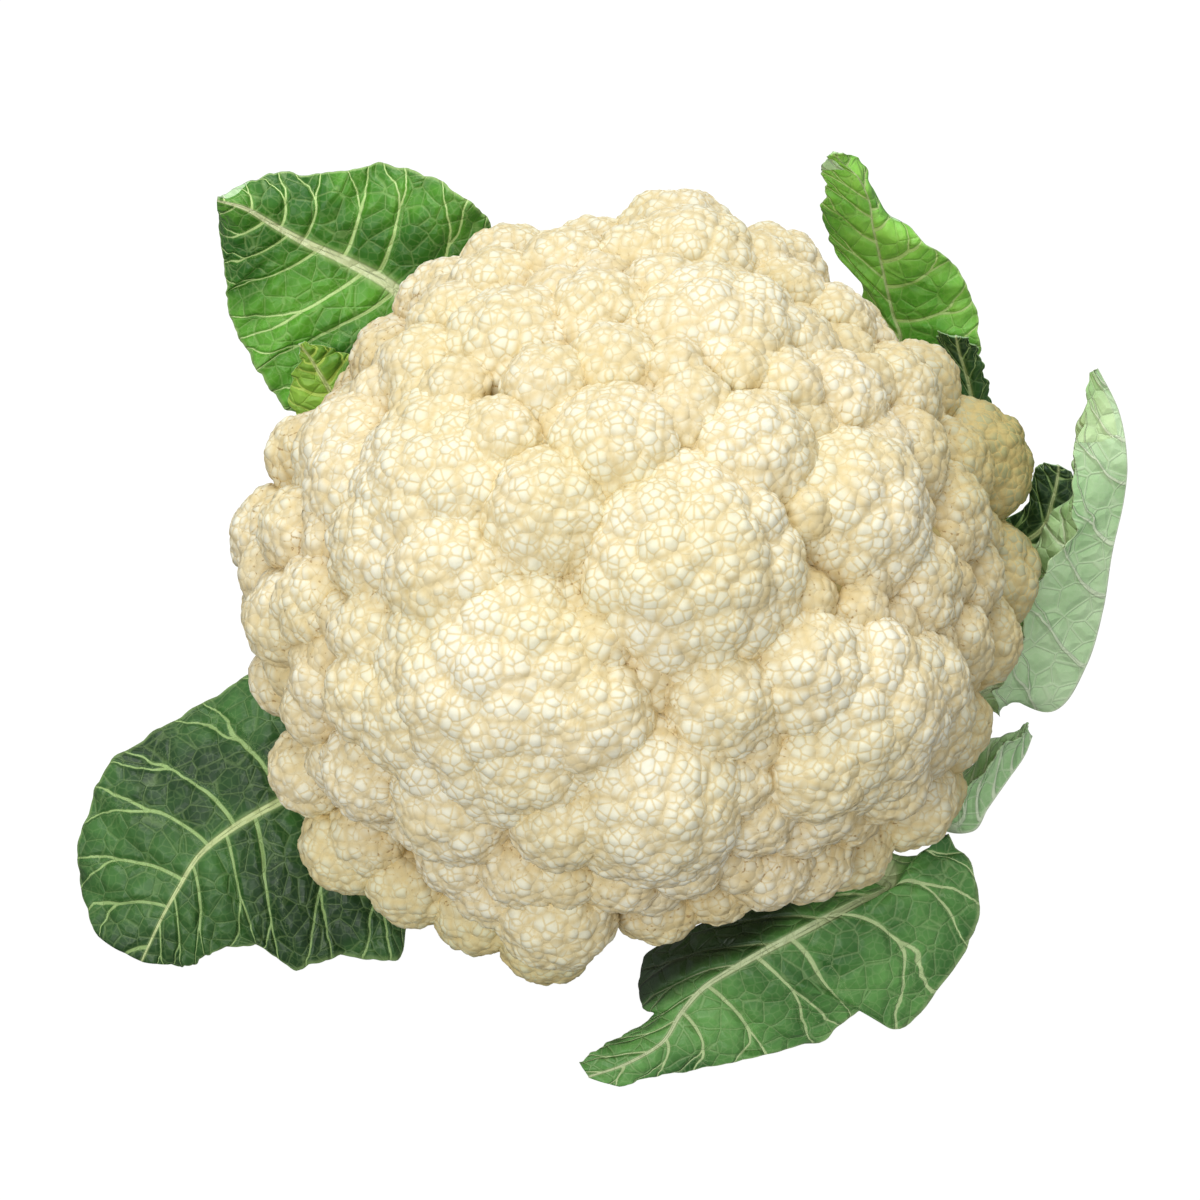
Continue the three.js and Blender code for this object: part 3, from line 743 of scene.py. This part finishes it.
LEAF_COLOURS = {
    "bright": dict(dark=(44, 106, 24), light=(104, 178, 52), rib=(232, 244, 190), vein=(200, 232, 150)),
    "young": dict(dark=(84, 140, 34), light=(150, 200, 66), rib=(206, 222, 140), vein=(190, 220, 96)),
    "dark": dict(dark=(28, 62, 24), light=(66, 116, 50), rib=(206, 222, 156), vein=(160, 192, 120)),
    "blue": dict(dark=(46, 100, 38), light=(116, 178, 92), rib=(214, 230, 176), vein=(200, 224, 160)),
    "pale": dict(dark=(150, 200, 122), light=(216, 248, 186), rib=(222, 238, 194), vein=(228, 246, 202)),
    "back": dict(dark=(92, 172, 48), light=(170, 240, 98), rib=(206, 230, 160), vein=(196, 230, 140)),
}
# painted shade under the head, on the leaves
PAINTED_SHADE_GREEN = srgb(22, 36, 16)
UNDERSIDE = srgb(208, 242, 190)
UNDERSIDE_DARK = srgb(166, 212, 148)
UNDERSIDE_VEIN = srgb(224, 242, 206)
# painted shade under the head, on the leaves:
PAINTED_SHADE_WITHIN = (58, 68)  # the leaves darken from here in to the head's axis, in millimetres

# Side veins: their half width at the midrib and how much of it they lose, how far a vein may be off its
# place, where it forks, how much this differs, and how wide the fork opens.
VEIN_WIDTH = 0.62
VEIN_TAPER = 0.42
VEIN_CHANCE = 0.3
VEIN_CROOKEDNESS = 0.5
FORK_FROM = 0.42
FORK_CHANCE = 0.25
FORK_OPENING = 0.55
STEM_ENDS = 0.45  # beyond this only the fork's two arms go on
STEM_FADE = 40.0
NET_CELL = 5.5
FINE_NET_CELL = 2.2


def leaf_finish(name, colours, veins, length):
    """Green between paler veins, and painted dark near the head's axis as shade under the head. Side veins
    leave the midrib at equal steps, bend, and fork before the margin; a net of thin veins fills between
    them. The underside is paler, and its veins stand out."""
    leaf = Finish(name, Specular_IOR_Level=0.45)
    along, column, side, under = (leaf.shade(key) for key in ("along", "column", "side", "under"))
    wobble = leaf.noise(12, 4) - 0.5
    slant = column**VEIN_BEND * VEIN_SLANT
    place = along * veins + side * VEIN_STAGGER - slant + wobble * VEIN_CROOKEDNESS * column
    number = (place + 0.5).whole()
    chance = leaf.node("ShaderNodeTexWhiteNoise", dict(noise_dimensions="1D"), {"W": number + side * 40.0})
    off = place - number - (chance - 0.5) * VEIN_CHANCE
    step = length / veins
    fork = (column - FORK_FROM - chance * FORK_CHANCE).most(0)
    nearest = abs(abs(off) - fork * FORK_OPENING) * step
    single = abs(off) * step
    reach = nearest.least(single + (column - STEM_ENDS).most(0) * STEM_FADE)
    width = VEIN_WIDTH - column * VEIN_TAPER
    edge = reach / width
    vein = 1 - edge.spread(0.55, 1.25)
    halo = 1 - edge.spread(0.8, 3.6)
    net = leaf.cells(NET_CELL, "DISTANCE_TO_EDGE")
    net_vein = 1 - net.spread(0.01, 0.06)
    fine_net = 1 - leaf.cells(FINE_NET_CELL, "DISTANCE_TO_EDGE").spread(0.02, 0.1)
    rib = 1 - leaf.shade("rib").spread(0.7, 1.15)
    rib_halo = 1 - leaf.shade("rib").spread(1.0, 2.2)
    palette = {key: srgb(*value) for key, value in LEAF_COLOURS[colours].items()}
    patches = leaf.noise(24, 4).spread(0.34, 0.68)
    blade = leaf.blend(patches, palette["dark"], palette["light"])
    blade = leaf.blend((1 - net.spread(0.0, 0.3)) * 0.14, blade, palette["dark"])
    blade = leaf.blend(halo * 0.35, blade, palette["light"])
    blade = leaf.blend(fine_net * 0.1, blade, palette["vein"])
    blade = leaf.blend(net_vein * 0.17, blade, palette["vein"])
    blade = leaf.blend(column.spread(0.965, 1.0) * 0.5, blade, palette["vein"])
    blade = leaf.blend(rib_halo * 0.4, blade, palette["vein"])
    blade = leaf.blend(vein, blade, palette["vein"])
    across, forth, _ = leaf.axes()
    from_axis = (across * across + forth * forth) ** 0.5
    # painted shade: the blade turns dark near the head's axis, under the head
    blade = leaf.blend((1 - from_axis.along(PAINTED_SHADE_WITHIN)) * 0.94, blade, PAINTED_SHADE_GREEN)
    blade = leaf.blend(rib, blade, palette["rib"])
    back = leaf.blend(patches, UNDERSIDE_DARK, UNDERSIDE)
    back = leaf.blend(fine_net * 0.12, back, UNDERSIDE_VEIN)
    back = leaf.blend((vein.most(rib) + net_vein * 0.35).least(1), back, UNDERSIDE_VEIN)
    leaf.set(Base_Color=leaf.blend(under, blade, back))
    raised = under * 2 - 1
    puckers = net.spread(0.0, 0.35) * 0.9 + leaf.noise(7, 3) * 1.4 + leaf.noise(1.6, 3) * 0.25
    height = puckers - raised * halo * -0.8 + raised * (vein.most(rib) * 0.7 + net_vein * 0.3)
    leaf.set(Normal=leaf.bump(height, 0.8, 0.7))
    leaf.set(Roughness=0.36 + leaf.noise(9, 2) * 0.18 + under * 0.14)
    return leaf.material


def stalk_finish():
    """A pale green rind with fibres along it, and a whiter cut face with a ring of bundles."""
    stalk = Finish("stalk", Roughness=0.55)
    face = stalk.shade("face")
    rings = (stalk.shade("out") * 42.0).sine() * 0.5 + 0.5
    pores = 1 - stalk.cells(1.6).spread(0.1, 0.4)
    cut = stalk.blend(rings * 0.25 + pores * 0.3, srgb(236, 236, 206), srgb(196, 200, 140))
    fibres = stalk.noise(5, 4).spread(0.3, 0.7)
    rind = stalk.blend(fibres, srgb(178, 196, 130), srgb(212, 220, 172))
    stalk.set(Base_Color=stalk.blend(face, rind, cut))
    stalk.set(Normal=stalk.bump(stalk.noise(1.2, 4) + pores * 0.4, 0.4, 0.5))
    return stalk.material


def branch_finish():
    """Greenish cream, smoother than the curd, and tan as painted shade where florets hide the branches."""
    branch = Finish("branches", Roughness=0.55)
    share = branch.noise(9, 3).spread(0.3, 0.7)
    _, _, height = branch.axes()
    low = branch.blend(share, srgb(226, 224, 180), srgb(196, 204, 140))
    # painted shade: tan where florets hide the branches
    shaded_among_florets = height.along(FLORETS_FROM)
    branch.set(Base_Color=branch.blend(shaded_among_florets, low, SHADE_AMONG_FLORETS))
    branch.set(Normal=branch.bump(branch.noise(1.4, 3), 0.4, 0.5))
    return branch.material


# Curd


def core_piece(finish):
    """What shows between the florets and under them: an egg a little way in, lumpy above from three crossed
    sines, and below a cone with a rib for each branch."""
    around, down = CORE_GRID
    azimuth = np.arange(around) * 360 / around
    tilt = np.linspace(0, 180, down + 1)[1:-1]
    ways = way_to(azimuth[None, :], tilt[:, None])
    egg = egg_reach(ways) - CORE_DEPTH - tuck_of(ways, tilt[:, None])
    below = egg_reach(ways, *CONE_EGG)
    slope = (CONE_RIM[0] - CONE_FOOT[0]) / (CONE_RIM[1] - CONE_FOOT[1])
    across = np.sqrt(ways[..., 0] ** 2 + ways[..., 1] ** 2)
    fall = -ways[..., 2]
    start = CONE_FOOT[0] + slope * (HEAD_LEVEL - CONE_FOOT[1])
    cone = start / np.maximum(across + slope * fall, LEAST_CONE_SLOPE)
    rib = np.sin(np.pi * np.clip(fall, 0, 1)) * np.cos(BRANCHES * np.radians(azimuth))
    under = np.minimum(below, cone) * (1 + BRANCH_RELIEF * rib)
    lower = egg + CORE_DEPTH * come_from(fall, *UNDERSIDE_FALL)
    reach = np.where(fall < UNDERSIDE_FALL[0], egg, np.minimum(under, lower))
    lumps = np.sin(ways * HEAD_RADIUS * 2 * np.pi / LUMP_WIDTH).sum(-1)
    reach = reach + LUMP_HEIGHT * lumps * (1 - come_from(fall, *LUMP_FADE))
    points = (ways * reach[..., None]).reshape(-1, 3) + [0, 0, HEAD_LEVEL]
    poles = np.array([[0, 0, points[:, 2].max()], [0, 0, points[:, 2].min()]])
    points = np.concatenate([points, poles])
    write_mesh("curd_branches", points, round_faces(down - 1, around), {}, ["curd"], finish)


def curd_pieces(finish):
    """The florets in whorls, each whorl one piece."""
    whorls = {}
    for number, (way, radius, proud, tuck) in enumerate(all_florets()):
        front = number < len(FRONT_FLORETS)
        tilt = np.degrees(np.arccos(way[2]))
        whorl = "top" if tilt < WHORL_TILTS[0] else "middle" if tilt < WHORL_TILTS[1] else "rim"
        whorl = ("front_" if front else "back_") + whorl + ("_left" if way[0] < 0 else "_right")
        spacing = FRONT_SPACING if front else BACK_SPACING
        whorls.setdefault(whorl, []).append(floret(way, radius, proud, tuck, spacing))
    for whorl, parts in whorls.items():
        points, faces, shades = join(parts)
        write_mesh("florets_" + whorl, points, faces, shades, ["curd"], finish)


# Leaves


def line_through(points, at):
    """A smooth line through points, measured by their number: on each stretch a cubic with the slopes that
    a centripetal spline gives its two ends."""
    points = np.array(points, float)
    padded = np.concatenate([[2 * points[0] - points[1]], points, [2 * points[-1] - points[-2]]])
    number = np.clip(at, 0, 1) * (len(points) - 1)
    start = np.minimum(number.astype(int), len(points) - 2)
    share = (number - start)[..., None]
    p0, p1, p2, p3 = (padded[start + k] for k in range(4))
    d0, d1, d2 = (np.sqrt(length_of(b - a)) for a, b in ((p0, p1), (p1, p2), (p2, p3)))
    slope1 = ((p1 - p0) / d0 - (p2 - p0) / (d0 + d1) + (p2 - p1) / d1) * d1
    slope2 = ((p2 - p1) / d1 - (p3 - p1) / (d1 + d2) + (p3 - p2) / d2) * d1
    square, cube = share**2, share**3
    return (
        p1 * (2 * cube - 3 * square + 1) + slope1 * (cube - 2 * square + share)
        + p2 * (3 * square - 2 * cube) + slope2 * (cube - square)
    )


def leaf_frame(petiole, blade, along):
    """For places along a leaf: its middle, its two margins, the way across and the way up, and how far the
    blade has opened from the petiole."""
    rib = petiole + [station[0] for station in blade]
    foot = len(petiole) / (len(rib) - 1)
    middle = line_through(rib, along)
    after = np.minimum(along + SMALL_STEP, 1)
    ahead = unit(line_through(rib, after) - line_through(rib, after - 2 * SMALL_STEP))
    blade_share = np.maximum(0, (along - foot) / (1 - foot))
    left, right = (line_through([station[side] for station in blade], blade_share) for side in (1, 2))
    level = unit(np.cross(ahead, [0, 0, 1]))
    spread = unit(right - left)
    share = come_from(along, foot * PETIOLE_TURNS, foot)[:, None]
    across = level + (spread - level) * share
    across = unit(across - (across * ahead).sum(-1, keepdims=True) * ahead)
    opening = come_from(along, foot * PETIOLE_OPENS, foot)
    opening = opening**2 * (3 - 2 * opening)
    thin = np.sqrt(come_from(along, foot * PETIOLE_THINS, 1))
    return middle, left, right, across, np.cross(across, ahead), opening, thin, (along - foot) / (1 - foot)


def leaf_piece(name, petiole, blade, size, fine, veins, length, tooth, colours, slimming=USUAL_SLIMMING):
    """A closed leaf on a grid from margin to margin. Across, the middle columns hold the midrib, and each
    side then runs straight from the midrib's edge to the margin, lifted by an arch, by the swell between
    side veins and by waves that grow outwards; the margin itself is cut by small teeth."""
    rows, columns = fine
    foot = len(petiole) / (len(petiole) + len(blade) - 1)
    knee = foot * PETIOLE_SPARSE
    along = np.concatenate([np.linspace(0, knee, rows // 6, endpoint=False), np.linspace(knee, 1, rows)])
    middle, left, right, across, up, opening, thin, share = leaf_frame(petiole, blade, along)
    spots = np.linspace(-1, 1, columns)
    side = np.sign(spots)
    in_rib = np.clip(np.abs(spots) / RIB_ZONE, 0, 1)
    column = np.clip((np.abs(spots) - RIB_ZONE) / (1 - RIB_ZONE), 0, 1)
    slim = 1 - slimming * opening
    rib_half = (PETIOLE_HALF_WIDTH * size + (TIP_HALF_WIDTH - PETIOLE_HALF_WIDTH * size) * thin) * slim
    rib_depth = (PETIOLE_DEPTH * size + (TIP_DEPTH - PETIOLE_DEPTH * size) * thin) * slim
    phases = draw.uniform(0, 2 * np.pi, 6)
    turn = share[:, None] * length
    rib_edge = middle[:, None] + across[:, None] * side[None, :, None] * rib_half[:, None, None]
    margin = np.where(side[None, :, None] < 0, left[:, None], right[:, None])
    closed = rib_edge + across[:, None] * side[None, :, None] * CLOSED_WIDTH
    margin = closed + (margin - closed) * opening[:, None, None]
    long_tooth, short_tooth = (turn * 2 * np.pi / step for step in TOOTH_LENGTHS)
    long_tooth = np.sin(long_tooth + phases[0] + side * TOOTH_LEAN)
    short_tooth = np.abs(np.sin(short_tooth + phases[1] + side))
    teeth = tooth * (long_tooth + short_tooth) / 2
    outward = (margin - rib_edge) / np.maximum(length_of(margin - rib_edge), 1)
    margin = margin + outward * (teeth * opening[:, None])[..., None]
    points = rib_edge + (margin - rib_edge) * column[None, :, None]
    inner = middle[:, None] + across[:, None] * (side * in_rib)[None, :, None] * rib_half[:, None, None]
    points = np.where(column[None, :, None] > 0, points, inner)
    width = length_of(margin - rib_edge)[..., 0]
    place = share[:, None] * veins + side * VEIN_STAGGER - column**VEIN_BEND * VEIN_SLANT
    swell = np.minimum(1, np.abs(place - np.round(place)) * SWELL_STEEPNESS) ** SWELL_POWER
    arch = 4 * column * (1 - column)
    reach = come_from(width, 0, FULL_WIDTH) * opening[:, None]
    waves = sum(
        height * np.sin(turn * 2 * np.pi / step + phase + side * lean + column * slant)
        for (height, step, lean, slant), phase in zip(WAVES, phases[2:])
    )
    lift = reach * (ARCH * arch + SWELL * swell * arch + RIPPLE * waves * column**RIPPLE_GROWTH)
    dish = -RIB_DISH * rib_half[:, None] * (1 - in_rib**2)
    keel = rib_depth[:, None] * np.sqrt(np.maximum(0, 1 - in_rib**2 * RIB_ROUND)) * (column == 0)
    skin = BLADE_THICKNESS / 2 * (1 - MARGIN_THINNING * column)
    top = points + up[:, None] * (lift + skin + dish)[..., None]
    bottom = points + up[:, None] * (lift - skin - keel)[..., None]
    total = len(along) * columns
    upper = np.arange(total).reshape(len(along), columns)
    lower = upper + total
    onward, turned = [0, 1, 2, 3], [1, 0, 3, 2]
    edges = [(np.s_[:, 0], onward), (np.s_[:, -1], turned), (np.s_[0], turned), (np.s_[-1], onward)]
    rim = []
    for at, corners in edges:
        over, below = upper[at], lower[at]
        rim.append(np.stack([over[:-1], over[1:], below[1:], below[:-1]], -1)[:, corners])
    faces = np.concatenate([grid_quads(upper)[:, ::-1], grid_quads(lower), *rim])
    both = np.concatenate([top.reshape(-1, 3), bottom.reshape(-1, 3)])
    both[:, 2] = np.maximum(both[:, 2], LEAST_HEIGHT)
    full = np.ones((len(along), 1))
    beyond = 1 + width * column / np.maximum(rib_half[:, None], LEAST_RIB)
    off_rib = np.where(column > 0, beyond, in_rib[None, :])
    shades = dict(along=share[:, None] + 0 * column, column=full * column, side=full * side, rib=off_rib)
    shades = {key: np.tile(value.ravel(), 2) for key, value in shades.items()}
    shades["under"] = np.repeat([0.0, 1.0], total)
    finish = leaf_finish(name, colours, veins, length)
    write_mesh(name + "_skin", both, faces.tolist(), shades, [name], finish)


# Stalk


def stalk_piece(finish):
    """The stalk: its profile taken straight between points and turned round the axis, with shallow flutes,
    leaf scars as low rings, and a cut face with a slightly uneven surface. Closed at both poles."""
    around = STALK_COLUMNS
    share = np.arange(STALK_STEPS) / STALK_STEPS
    profile = []
    for (r0, z0), (r1, z1) in zip(STALK_PROFILE, STALK_PROFILE[1:]):
        profile.extend(np.stack([r0 + (r1 - r0) * share, z0 + (z1 - z0) * share], -1))
    profile = np.array(profile[1:])
    angle = np.arange(around) * 2 * np.pi / around
    height = profile[:, 1:2]
    on_side = come_from(height, 0, FLUTES_FADE)
    flute = sum(relief * np.sin(count * angle + phase) for relief, count, phase in FLUTES)
    off_scar = height - SCAR_HEIGHT - SCAR_SLOPE * np.sin(angle * 2)
    scars = SCAR_RELIEF * np.exp(-((off_scar / SCAR_WIDTH) ** 2))
    radius = profile[:, :1] + (flute + scars) * on_side * (profile[:, :1] > RIND_RADIUS)
    points = np.stack([radius * np.cos(angle), radius * np.sin(angle), height + 0 * angle], -1)
    out = np.broadcast_to(profile[:, :1] / FACE_RADIUS, radius.shape)
    face = (height == 0) * (profile[:, :1] < FACE_RADIUS) * np.ones_like(radius)
    faces = round_faces(len(points), around, rising=True)
    poles = [[0, 0, 0], [0, 0, STALK_PROFILE[-1][1]]]
    shades = dict(out=np.append(out.ravel(), [0, 0]), face=np.append(face.ravel(), [1, 0]))
    points = np.concatenate([points.reshape(-1, 3), poles])
    write_mesh("stalk_skin", points, faces, shades, ["stalk"], finish)


# Studio


def set_camera():
    """The photograph's view: looking down, moved so that the head's middle falls on its own pixel."""
    slope = np.radians(CAMERA_ELEVATION)
    ahead = np.array([0, np.cos(slope), -np.sin(slope)])
    up = np.array([0, np.sin(slope), np.cos(slope)])
    place = np.array(CAMERA_TARGET) - ahead * CAMERA_DISTANCE
    place = place - np.array([1, 0, 0]) * (TARGET_PIXEL[0] - PHOTO_SIDE / 2) * MM_PER_PIXEL
    place = place - up * (PHOTO_SIDE / 2 - TARGET_PIXEL[1]) * MM_PER_PIXEL
    data = bpy.data.cameras.new("camera")
    data.sensor_width = SENSOR
    data.lens = SENSOR * CAMERA_DISTANCE / (PHOTO_SIDE * MM_PER_PIXEL)
    camera = new_object("camera", data)
    turn = Vector(ahead).to_track_quat("-Z", "Y").to_matrix().to_4x4()
    camera.matrix_world = Matrix.Translation(Vector(place * MM)) @ turn
    bpy.context.scene.camera = camera


def area_light(name, way, distance, size, strength):
    """A round light whose strength is the brightness that it gives to a white face turned to it."""
    data = bpy.data.lights.new(name, "AREA")
    data.shape = "DISK"
    data.size = size
    data.energy = strength * np.pi**2 * distance**2
    light = new_object(name, data)
    light.location = Vector(CAMERA_TARGET) * MM + Vector(unit(way)) * distance
    light.rotation_euler = Vector(way).to_track_quat("Z", "Y").to_euler()


def set_studio():
    """A white floor that only the camera sees, as in a cut-out picture, a sky that is bright above and dim
    below, a broad light from above and behind, and a weak one from the front left."""
    mesh = bpy.data.meshes.new("floor")
    corners = [(-FLOOR_REACH, -FLOOR_REACH, 0), (FLOOR_REACH, -FLOOR_REACH, 0)]
    mesh.from_pydata(corners + [(-x, -y, z) for x, y, z in corners], [], [(0, 1, 2, 3)])
    floor = new_object("floor", mesh)
    white = Finish("floor", Base_Color=(0, 0, 0), Emission_Color=(1, 1, 1), Emission_Strength=1.0)
    white.material.cycles.emission_sampling = "NONE"
    mesh.materials.append(white.material)
    for ray in ("diffuse", "glossy", "transmission", "shadow"):
        setattr(floor, "visible_" + ray, False)
    world = bpy.data.worlds.new("sky")
    world.use_nodes = True
    nodes, links = world.node_tree.nodes, world.node_tree.links
    place = nodes.new("ShaderNodeTexCoord")
    split = nodes.new("ShaderNodeSeparateXYZ")
    level = nodes.new("ShaderNodeMapRange")
    levels = {"From Min": -SKY_BLEND, "From Max": SKY_BLEND, "To Min": SKY_BELOW, "To Max": SKY_ABOVE}
    for socket, value in levels.items():
        level.inputs[socket].default_value = value
    links.new(place.outputs["Generated"], split.inputs[0])
    links.new(split.outputs["Z"], level.inputs["Value"])
    links.new(level.outputs[0], nodes["Background"].inputs["Strength"])
    nodes["Background"].inputs["Color"].default_value = (1, 1, 1, 1)
    bpy.context.scene.world = world
    for name, way, distance, size, strength in LIGHTS:
        area_light(name, np.array(way), distance, size, strength)
    view = bpy.context.scene.view_settings
    view.view_transform = "Standard"
    view.look = "None"


curd = curd_finish()
core_piece(branch_finish())
curd_pieces(curd)
for leaf_name, shape in LEAVES.items():
    leaf_piece(leaf_name, **shape)
stalk_piece(stalk_finish())
set_camera()
set_studio()
